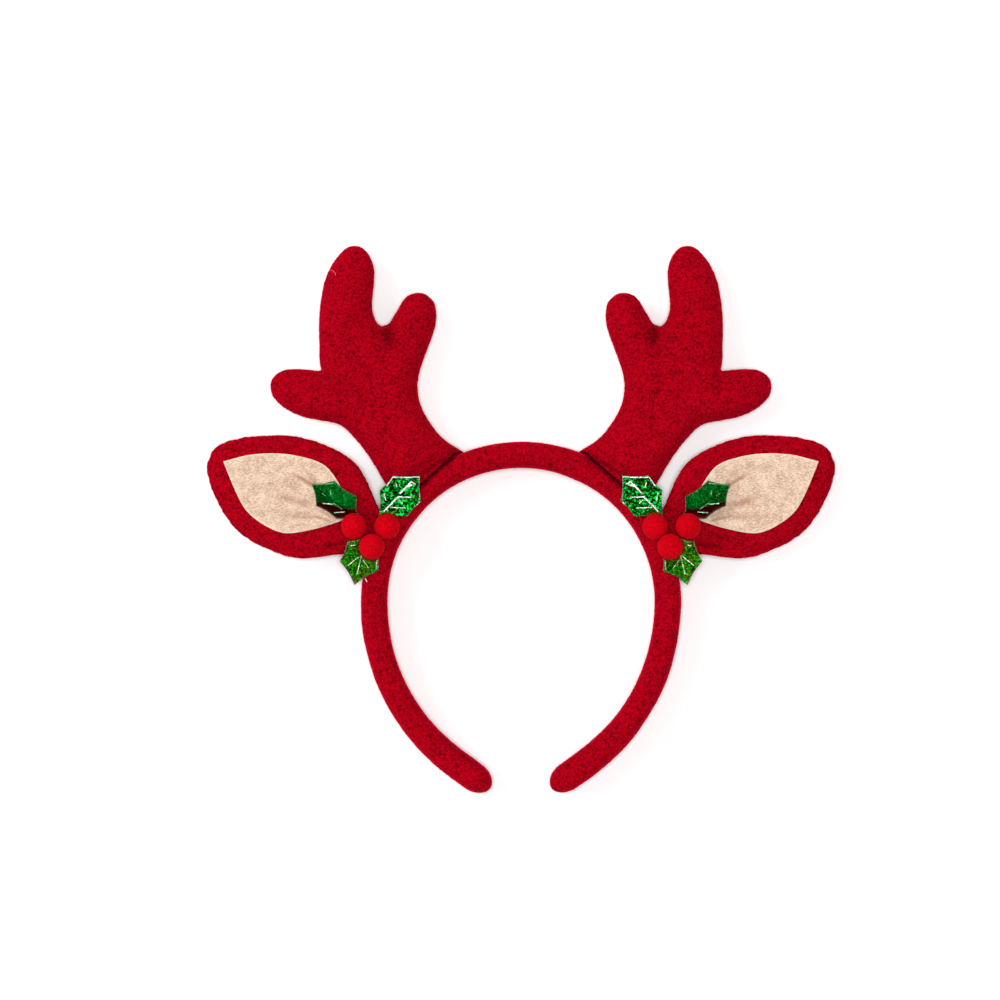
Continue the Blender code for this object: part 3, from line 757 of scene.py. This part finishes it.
def laid_strand(name, surface, path, half_width):
    """A thin round strand that lies on a surface along a path in plan and tapers to its ends."""
    path = np.array(path) * MM
    part = np.linspace(0, len(path) - 1, STRAND_STEPS + 1)
    middle = np.column_stack([np.interp(part, range(len(path)), path[:, i]) for i in (0, 1)])
    heights = heights_over(surface, middle) + 0.8 * half_width * MM
    points, faces = [], []
    for i, (x, y) in enumerate(middle):
        across = middle[min(i + 1, STRAND_STEPS)] - middle[max(i - 1, 0)]
        across = np.array((-across[1], across[0])) / np.linalg.norm(across)
        radius = half_width * MM * (0.25 + 0.75 * math.sin(math.pi * i / STRAND_STEPS) ** 0.5)
        for turn in np.arange(STRAND_SIDES) * 2 * math.pi / STRAND_SIDES:
            side = math.cos(turn) * radius
            points.append((x + side * across[0], y + side * across[1], heights[i] + math.sin(turn) * radius))
    for i in range(STRAND_STEPS):
        ring, beyond = STRAND_SIDES * i, STRAND_SIDES * (i + 1)
        for k in range(STRAND_SIDES):
            after = (k + 1) % STRAND_SIDES
            faces.append((ring + k, ring + after, beyond + after, beyond + k))
    faces.append(range(STRAND_SIDES - 1, -1, -1))
    faces.append(range(len(points) - STRAND_SIDES, len(points)))
    return new_piece(name, mesh_from(points, faces))


# Finishes


def link(tree, source, target):
    tree.links.new(source, target)


def new_group(name, inputs, outputs):
    """An empty effect with named sockets, and its own two end nodes."""
    tree = bpy.data.node_groups.new(name, "ShaderNodeTree")
    for label, kind, value in inputs:
        socket = tree.interface.new_socket(label, in_out="INPUT", socket_type=kind)
        socket.default_value = value
    for label, kind in outputs:
        tree.interface.new_socket(label, in_out="OUTPUT", socket_type=kind)
    return tree, tree.nodes.new("NodeGroupInput"), tree.nodes.new("NodeGroupOutput")


def add(tree, kind, **settings):
    node = tree.nodes.new("ShaderNode" + kind)
    for name, value in settings.items():
        if name in node.inputs:
            node.inputs[name].default_value = value
        else:
            setattr(node, name, value)
    return node


def sums(tree, operation, first, second, clamp=False):
    """One piece of arithmetic on two numbers, each a socket or a plain value."""
    node = add(tree, "Math", operation=operation, use_clamp=clamp)
    for socket, value in zip(node.inputs, (first, second)):
        if isinstance(value, (int, float)):
            socket.default_value = value
        else:
            link(tree, value, socket)
    return node.outputs[0]


def mixed(tree, share, first, second):
    """A colour between two colours."""
    node = add(tree, "Mix", data_type="RGBA")
    for index, value in ((0, share), (6, first), (7, second)):
        if isinstance(value, bpy.types.NodeSocket):
            link(tree, value, node.inputs[index])
        else:
            node.inputs[index].default_value = value
    return node.outputs[2]


def object_place(tree):
    return add(tree, "TexCoord").outputs["Object"]


def noise(tree, scale):
    node = add(tree, "TexNoise", Scale=scale, Detail=2.0)
    link(tree, object_place(tree), node.inputs["Vector"])
    return node.outputs["Fac"]


def grains_of(tree, place, scale):
    """Cells of one size: how far each point is from its cell's middle, and the cell's own three numbers."""
    cells = add(tree, "TexVoronoi")
    link(tree, place, cells.inputs["Vector"])
    link(tree, scale, cells.inputs["Scale"])
    parts = add(tree, "SeparateColor")
    link(tree, cells.outputs["Color"], parts.inputs[0])
    return cells.outputs["Distance"], parts.outputs


def wandering_place(tree, scale, reach):
    """The place on the piece, pushed about a little, so that cells and streaks don't run straight."""
    wander = add(tree, "TexNoise", Scale=scale, Detail=1.0)
    link(tree, object_place(tree), wander.inputs["Vector"])
    centred = add(tree, "VectorMath", operation="SUBTRACT")
    centred.inputs[1].default_value = (0.5, 0.5, 0.5)
    link(tree, wander.outputs["Color"], centred.inputs[0])
    pushed = add(tree, "VectorMath", operation="SCALE")
    pushed.inputs["Scale"].default_value = reach
    link(tree, centred.outputs[0], pushed.inputs[0])
    moved = add(tree, "VectorMath", operation="ADD")
    link(tree, pushed.outputs[0], moved.inputs[0])
    link(tree, object_place(tree), moved.inputs[1])
    return moved.outputs[0]


def pile_effect():
    """Napped cloth: bright tufts with darker gaps, partly painted shade between the tufts, mottled, and
    painted shade where the skin is drawn in.
    """
    tree, given, made = new_group(
        "napped_pile",
        [
            ("Tuft Colour", "NodeSocketColor", (0.5, 0.5, 0.5, 1)),
            ("Gap Colour", "NodeSocketColor", (0.2, 0.2, 0.2, 1)),
            ("Crease Colour", "NodeSocketColor", (0.1, 0.1, 0.1, 1)),
            ("Tuft Scale", "NodeSocketFloat", 1150.0),
        ],
        [("Colour", "NodeSocketColor"), ("Height", "NodeSocketFloat")],
    )
    place = wandering_place(tree, 900.0, 0.0011)
    coarse, _ = grains_of(tree, place, given.outputs["Tuft Scale"])
    fine, numbers = grains_of(tree, place, sums(tree, "MULTIPLY", given.outputs["Tuft Scale"], 1.6))
    uneven = sums(tree, "MULTIPLY", numbers[0], 0.55)
    gaps = sums(tree, "ADD", sums(tree, "MULTIPLY", coarse, 0.95), sums(tree, "MULTIPLY", fine, 0.5))
    pile = add(tree, "Attribute", attribute_name="pile").outputs["Fac"]
    # Painted shade in the creases, seams and at the antler's foot
    drawn = add(tree, "Attribute", attribute_name="painted_shade").outputs["Fac"]
    blotch = sums(tree, "MULTIPLY", sums(tree, "SUBTRACT", noise(tree, 160.0), 0.5), 0.3)
    above = sums(tree, "ADD", sums(tree, "MULTIPLY", pile, 0.25), uneven)
    raised = sums(tree, "SUBTRACT", sums(tree, "ADD", above, 1.0), gaps)
    share = sums(tree, "ADD", raised, blotch, clamp=True)
    tufted = mixed(tree, share, given.outputs["Gap Colour"], given.outputs["Tuft Colour"])
    link(tree, mixed(tree, drawn, tufted, given.outputs["Crease Colour"]), made.inputs["Colour"])
    link(tree, raised, made.inputs["Height"])
    return tree


def finish_of(name, **settings):
    """A new finish and its main shader, with the shader's plain values set."""
    finish = bpy.data.materials.new(name)
    finish.use_nodes = True
    shader = finish.node_tree.nodes["Principled BSDF"]
    for label, value in settings.items():
        shader.inputs[label.replace("_", " ")].default_value = value
    return finish, finish.node_tree, shader


def placed(tree, effect, **values):
    """An effect put to use in a finish, with its own plain values."""
    node = tree.nodes.new("ShaderNodeGroup")
    node.node_tree = effect
    for label, value in values.items():
        node.inputs[label.replace("_", " ")].default_value = value
    return node


def roughen(tree, shader, height, distance):
    bump = add(tree, "Bump", Distance=distance, Strength=1.0)
    link(tree, height, bump.inputs["Height"])
    link(tree, bump.outputs["Normal"], shader.inputs["Normal"])


def fleece_finish(pile):
    finish, tree, shader = finish_of(
        "red_fleece",
        Roughness=0.95,
        Specular_IOR_Level=0.02,
        Sheen_Weight=1.0,
        Sheen_Roughness=0.3,
        Sheen_Tint=(1.0, 0.0, 0.045, 1),
    )
    nap = placed(
        tree,
        pile,
        Tuft_Colour=(0.43, 0.0, 0.008, 1),
        Gap_Colour=(0.065, 0.0, 0.0015, 1),
        # Colour of the painted shade in the creases, seams and at the antler's foot
        Crease_Colour=(0.012, 0.0, 0.0005, 1),
        Tuft_Scale=1050.0,
    )
    link(tree, nap.outputs["Colour"], shader.inputs["Base Color"])
    roughen(tree, shader, nap.outputs["Height"], 0.00022)
    return finish


def flock_finish(pile):
    finish, tree, shader = finish_of(
        "berry_flock",
        Roughness=0.9,
        Specular_IOR_Level=0.03,
        Sheen_Weight=0.3,
        Sheen_Roughness=0.4,
        Sheen_Tint=(1.0, 0.01, 0.03, 1),
    )
    nap = placed(
        tree,
        pile,
        Tuft_Colour=(0.64, 0.0, 0.007, 1),
        Gap_Colour=(0.22, 0.0, 0.002, 1),
        Crease_Colour=(0.12, 0.0, 0.0015, 1),
        Tuft_Scale=1900.0,
    )
    link(tree, nap.outputs["Colour"], shader.inputs["Base Color"])
    roughen(tree, shader, nap.outputs["Height"], 0.0001)
    return finish


def felt_finish():
    finish, tree, shader = finish_of(
        "beige_felt",
        Roughness=0.95,
        Specular_IOR_Level=0.05,
        Sheen_Weight=0.15,
        Sheen_Roughness=0.5,
        Sheen_Tint=(1.0, 0.9, 0.8, 1),
    )
    brushed = add(tree, "Mapping")
    brushed.inputs["Rotation"].default_value = (0, 0, math.radians(-50))
    brushed.inputs["Scale"].default_value = (0.45, 1.7, 1.0)
    link(tree, wandering_place(tree, 300.0, 0.0016), brushed.inputs["Vector"])
    fibre = add(tree, "TexNoise", Scale=2300.0, Detail=2.0, Distortion=0.4)
    link(tree, brushed.outputs["Vector"], fibre.inputs["Vector"])
    speck = sums(tree, "MULTIPLY", sums(tree, "SUBTRACT", fibre.outputs["Fac"], 0.5), 3.8)
    blotch = sums(tree, "MULTIPLY", sums(tree, "SUBTRACT", noise(tree, 260.0), 0.5), 1.4)
    share = sums(tree, "ADD", sums(tree, "ADD", speck, blotch), 0.58, clamp=True)
    cloth = mixed(tree, share, (0.45, 0.275, 0.185, 1), (0.79, 0.6, 0.455, 1))
    # Painted shade, brownish, in the felt's creases
    drawn = add(tree, "Attribute", attribute_name="painted_shade").outputs["Fac"]
    cloth = mixed(tree, sums(tree, "MULTIPLY", drawn, 0.85), cloth, (0.34, 0.16, 0.1, 1))
    # Painted highlight, pale, along the cut edge
    edge = add(tree, "Attribute", attribute_name="edge_highlight").outputs["Fac"]
    cloth = mixed(tree, sums(tree, "MULTIPLY", edge, 0.7), cloth, (0.88, 0.74, 0.6, 1))
    link(tree, cloth, shader.inputs["Base Color"])
    roughen(tree, shader, fibre.outputs["Fac"], 0.00025)
    return finish


def foil_effect():
    """Crinkled foil: patches and grains of dark and bright green, some warmer, with painted highlights on
    its veins and rims, and painted reflection and shade where it is shaded.
    """
    tree, given, made = new_group(
        "crinkled_foil",
        [
            ("Dark", "NodeSocketColor", (0, 0.01, 0, 1)),
            ("Bright", "NodeSocketColor", (0, 0.5, 0.05, 1)),
            ("Warm", "NodeSocketColor", (0.1, 0.1, 0.0, 1)),
            ("Pale", "NodeSocketColor", (0.8, 1, 0.8, 1)),
            ("Mirrored", "NodeSocketColor", (0.03, 0.0, 0.0, 1)),
            ("Grain Scale", "NodeSocketFloat", 1900.0),
            ("Patchiness", "NodeSocketFloat", 3.0),
            ("Graininess", "NodeSocketFloat", 0.8),
            ("Bright Share", "NodeSocketFloat", 0.5),
            ("Warm Share", "NodeSocketFloat", 0.2),
            ("Rim Share", "NodeSocketFloat", 0.4),
        ],
        [("Colour", "NodeSocketColor"), ("Height", "NodeSocketFloat")],
    )
    place = wandering_place(tree, 1500.0, 0.0008)
    _, numbers = grains_of(tree, place, given.outputs["Grain Scale"])
    patch = add(tree, "TexNoise", Scale=900.0, Detail=2.0)
    link(tree, place, patch.inputs["Vector"])
    uneven = sums(tree, "SUBTRACT", patch.outputs["Fac"], 0.5)
    patchy = sums(tree, "MULTIPLY", uneven, given.outputs["Patchiness"])
    grainy = sums(tree, "MULTIPLY", sums(tree, "SUBTRACT", numbers[0], 0.5), given.outputs["Graininess"])
    share = sums(tree, "ADD", sums(tree, "ADD", patchy, grainy), given.outputs["Bright Share"], clamp=True)
    green = mixed(tree, share, given.outputs["Dark"], given.outputs["Bright"])
    warm = sums(tree, "LESS_THAN", numbers[1], given.outputs["Warm Share"])
    green = mixed(tree, sums(tree, "MULTIPLY", warm, 0.7), green, given.outputs["Warm"])
    # Painted reflection and shade, where the leaf is shaded
    shaded = add(tree, "Attribute", attribute_name="shaded").outputs["Fac"]
    green = mixed(tree, shaded, green, given.outputs["Mirrored"])
    # Painted highlight, pale, along the veins and the cut rim, broken up by the grains
    vein_highlight = add(tree, "Attribute", attribute_name="vein_highlight").outputs["Fac"]
    edge = add(tree, "Attribute", attribute_name="edge_highlight").outputs["Fac"]
    rim = sums(tree, "MULTIPLY", edge, given.outputs["Rim Share"])
    broken = sums(tree, "ADD", sums(tree, "MULTIPLY", numbers[2], 0.5), 0.65)
    pale = sums(tree, "MULTIPLY", sums(tree, "MAXIMUM", vein_highlight, rim), broken, clamp=True)
    link(tree, mixed(tree, pale, green, given.outputs["Pale"]), made.inputs["Colour"])
    link(tree, share, made.inputs["Height"])
    return tree


def foil_finish(name, foil, **values):
    finish, tree, shader = finish_of(name, Metallic=1.0, Roughness=0.4)
    foil = placed(tree, foil, **values)
    link(tree, foil.outputs["Colour"], shader.inputs["Base Color"])
    roughen(tree, shader, foil.outputs["Height"], 0.00012)
    return finish


# Table, light and camera


TABLE_RADIUS = 7  # metres, so that its edge is never in view
TABLE_DROP = 0.2 * MM  # the table top lies this far under the band

# Suns: name, strength, spread in degrees, and the direction that it shines from
LAMPS = (
    ("overhead", 2.45, 14, (0.0, 0.0, 1.0)),
    ("window_left", 1.45, 40, (-1.0, 0.35, 0.75)),
    ("fill_right", 0.15, 60, (1.0, 0.1, 0.9)),
)

LENS = 600.0  # mm
SENSOR = 36.0  # mm
FIELD = 0.4  # metres across the picture
FIELD_LEVEL = 0.012  # the height over the table at which the field is that wide


def make_stage():
    shape = bmesh.new()
    bmesh.ops.create_circle(shape, cap_ends=True, segments=96, radius=TABLE_RADIUS)
    mesh = bpy.data.meshes.new("table_top")
    shape.to_mesh(mesh)
    shape.free()
    mesh.transform(Matrix.Translation((0, 0, -TABLE_DROP)))
    table = new_piece("table_top", mesh)
    pale = (0.93, 0.93, 0.93, 1)
    finish, _, _ = finish_of("pale_table", Base_Color=pale, Roughness=0.9, Specular_IOR_Level=0.1)
    table.data.materials.append(finish)


def make_light():
    world = bpy.data.worlds.new("studio")
    world.use_nodes = True
    sky = world.node_tree.nodes["Background"]
    sky.inputs["Color"].default_value = (1, 1, 1, 1)
    sky.inputs["Strength"].default_value = 0.3
    bpy.context.scene.world = world
    for name, strength, spread, source in LAMPS:
        lamp = bpy.data.lights.new(name, "SUN")
        lamp.energy = strength
        lamp.angle = math.radians(spread)
        holder = bpy.data.objects.new(name, lamp)
        holder.rotation_mode = "QUATERNION"
        holder.rotation_quaternion = Vector(source).to_track_quat("Z", "Y")
        bpy.context.scene.collection.objects.link(holder)


def make_camera():
    """Straight over the headband through a very long lens, so that nothing leans outwards."""
    camera = bpy.data.cameras.new("camera")
    camera.lens = LENS
    camera.sensor_width = SENSOR
    camera.clip_end = 20
    holder = bpy.data.objects.new("camera", camera)
    holder.location = (-0.0084, 0.0076, FIELD_LEVEL + FIELD * LENS / SENSOR)
    bpy.context.scene.collection.objects.link(holder)
    bpy.context.scene.camera = holder


# The whole headband


def dress(piece, node, finish):
    piece.data.materials.clear()
    piece.data.materials.append(finish)
    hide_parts(node)
    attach(piece, "root")


def both_sides(piece):
    """The left piece and its mirror image, each with its side's name."""
    return (piece, "left"), (mirror_image(piece, piece.name.replace("left_", "right_")), "right")


make_stage()
make_light()
make_camera()
bpy.context.scene.view_settings.view_transform = "Standard"

pile = pile_effect()
foil = foil_effect()
fleece = fleece_finish(pile)
flock = flock_finish(pile)
felt = felt_finish()
# Pale is the colour of the painted highlights on veins and rims, and Rim Share how much the rim gets;
# Mirrored is the colour of the painted reflection and shade
foils = {
    "leaf_upper": foil_finish(
        "green_foil_upper",
        foil,
        Dark=(0.0, 0.004, 0.0, 1),
        Bright=(0.0, 0.31, 0.023, 1),
        Warm=(0.03, 0.06, 0.0, 1),
        Pale=(0.95, 1.0, 0.95, 1),
        Mirrored=(0.05, 0.008, 0.0, 1),
        Grain_Scale=1500.0,
        Patchiness=6.5,
        Graininess=1.6,
        Bright_Share=0.26,
        Warm_Share=0.08,
        Rim_Share=0.05,
    ),
    "leaf_outer": foil_finish(
        "green_foil_outer",
        foil,
        Dark=(0.0, 0.03, 0.002, 1),
        Bright=(0.0, 0.085, 0.008, 1),
        Warm=(0.01, 0.03, 0.001, 1),
        Pale=(0.4, 0.85, 0.5, 1),
        Mirrored=(0.03, 0.0, 0.001, 1),
        Grain_Scale=2000.0,
        Patchiness=2.4,
        Graininess=0.7,
        Bright_Share=0.45,
        Warm_Share=0.1,
        Rim_Share=0.15,
    ),
    "leaf_lower": foil_finish(
        "green_foil_lower",
        foil,
        Dark=(0.0, 0.012, 0.0, 1),
        Bright=(0.0, 0.15, 0.002, 1),
        Warm=(0.06, 0.05, 0.0, 1),
        Pale=(0.8, 0.95, 0.8, 1),
        Mirrored=(0.03, 0.004, 0.0, 1),
        Grain_Scale=1700.0,
        Patchiness=3.5,
        Graininess=1.4,
        Bright_Share=0.38,
        Warm_Share=0.3,
        Rim_Share=0.1,
    ),
}

band = make_band()
dress(band, "band", fleece)

left_antler = make_antler()
for piece, side in both_sides(left_antler):
    dress(piece, side + "_antler", fleece)

left_ear, ear_surface = make_ear()
for piece, side in both_sides(left_ear):
    dress(piece, side + "_ear", fleece)

left_felt, felt_area = make_felt(ear_surface)
for piece, side in both_sides(left_felt):
    dress(piece, side + "_inner_ear", felt)

for name, finish in foils.items():
    for piece, side in both_sides(make_leaf(name)):
        dress(piece, side + "_" + name, finish)

for name in BERRIES:
    for piece, side in both_sides(make_berry(name)):
        dress(piece, side + "_" + name, flock)

glue, _, _ = finish_of("clear_glue", Base_Color=(0.85, 0.83, 0.82, 1), Roughness=0.25)
lint, _, _ = finish_of("pale_lint", Base_Color=(0.62, 0.3, 0.32, 1), Roughness=0.9)
for name, carrier, (path, half_width), finish in (
    ("glue_strand", band, GLUE_STRAND, glue),
    ("lint_thread", left_antler, LINT, lint),
):
    strand = laid_strand(name, surface_of(carrier.data), path, half_width)
    strand.data.materials.append(finish)
    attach(strand, "root")
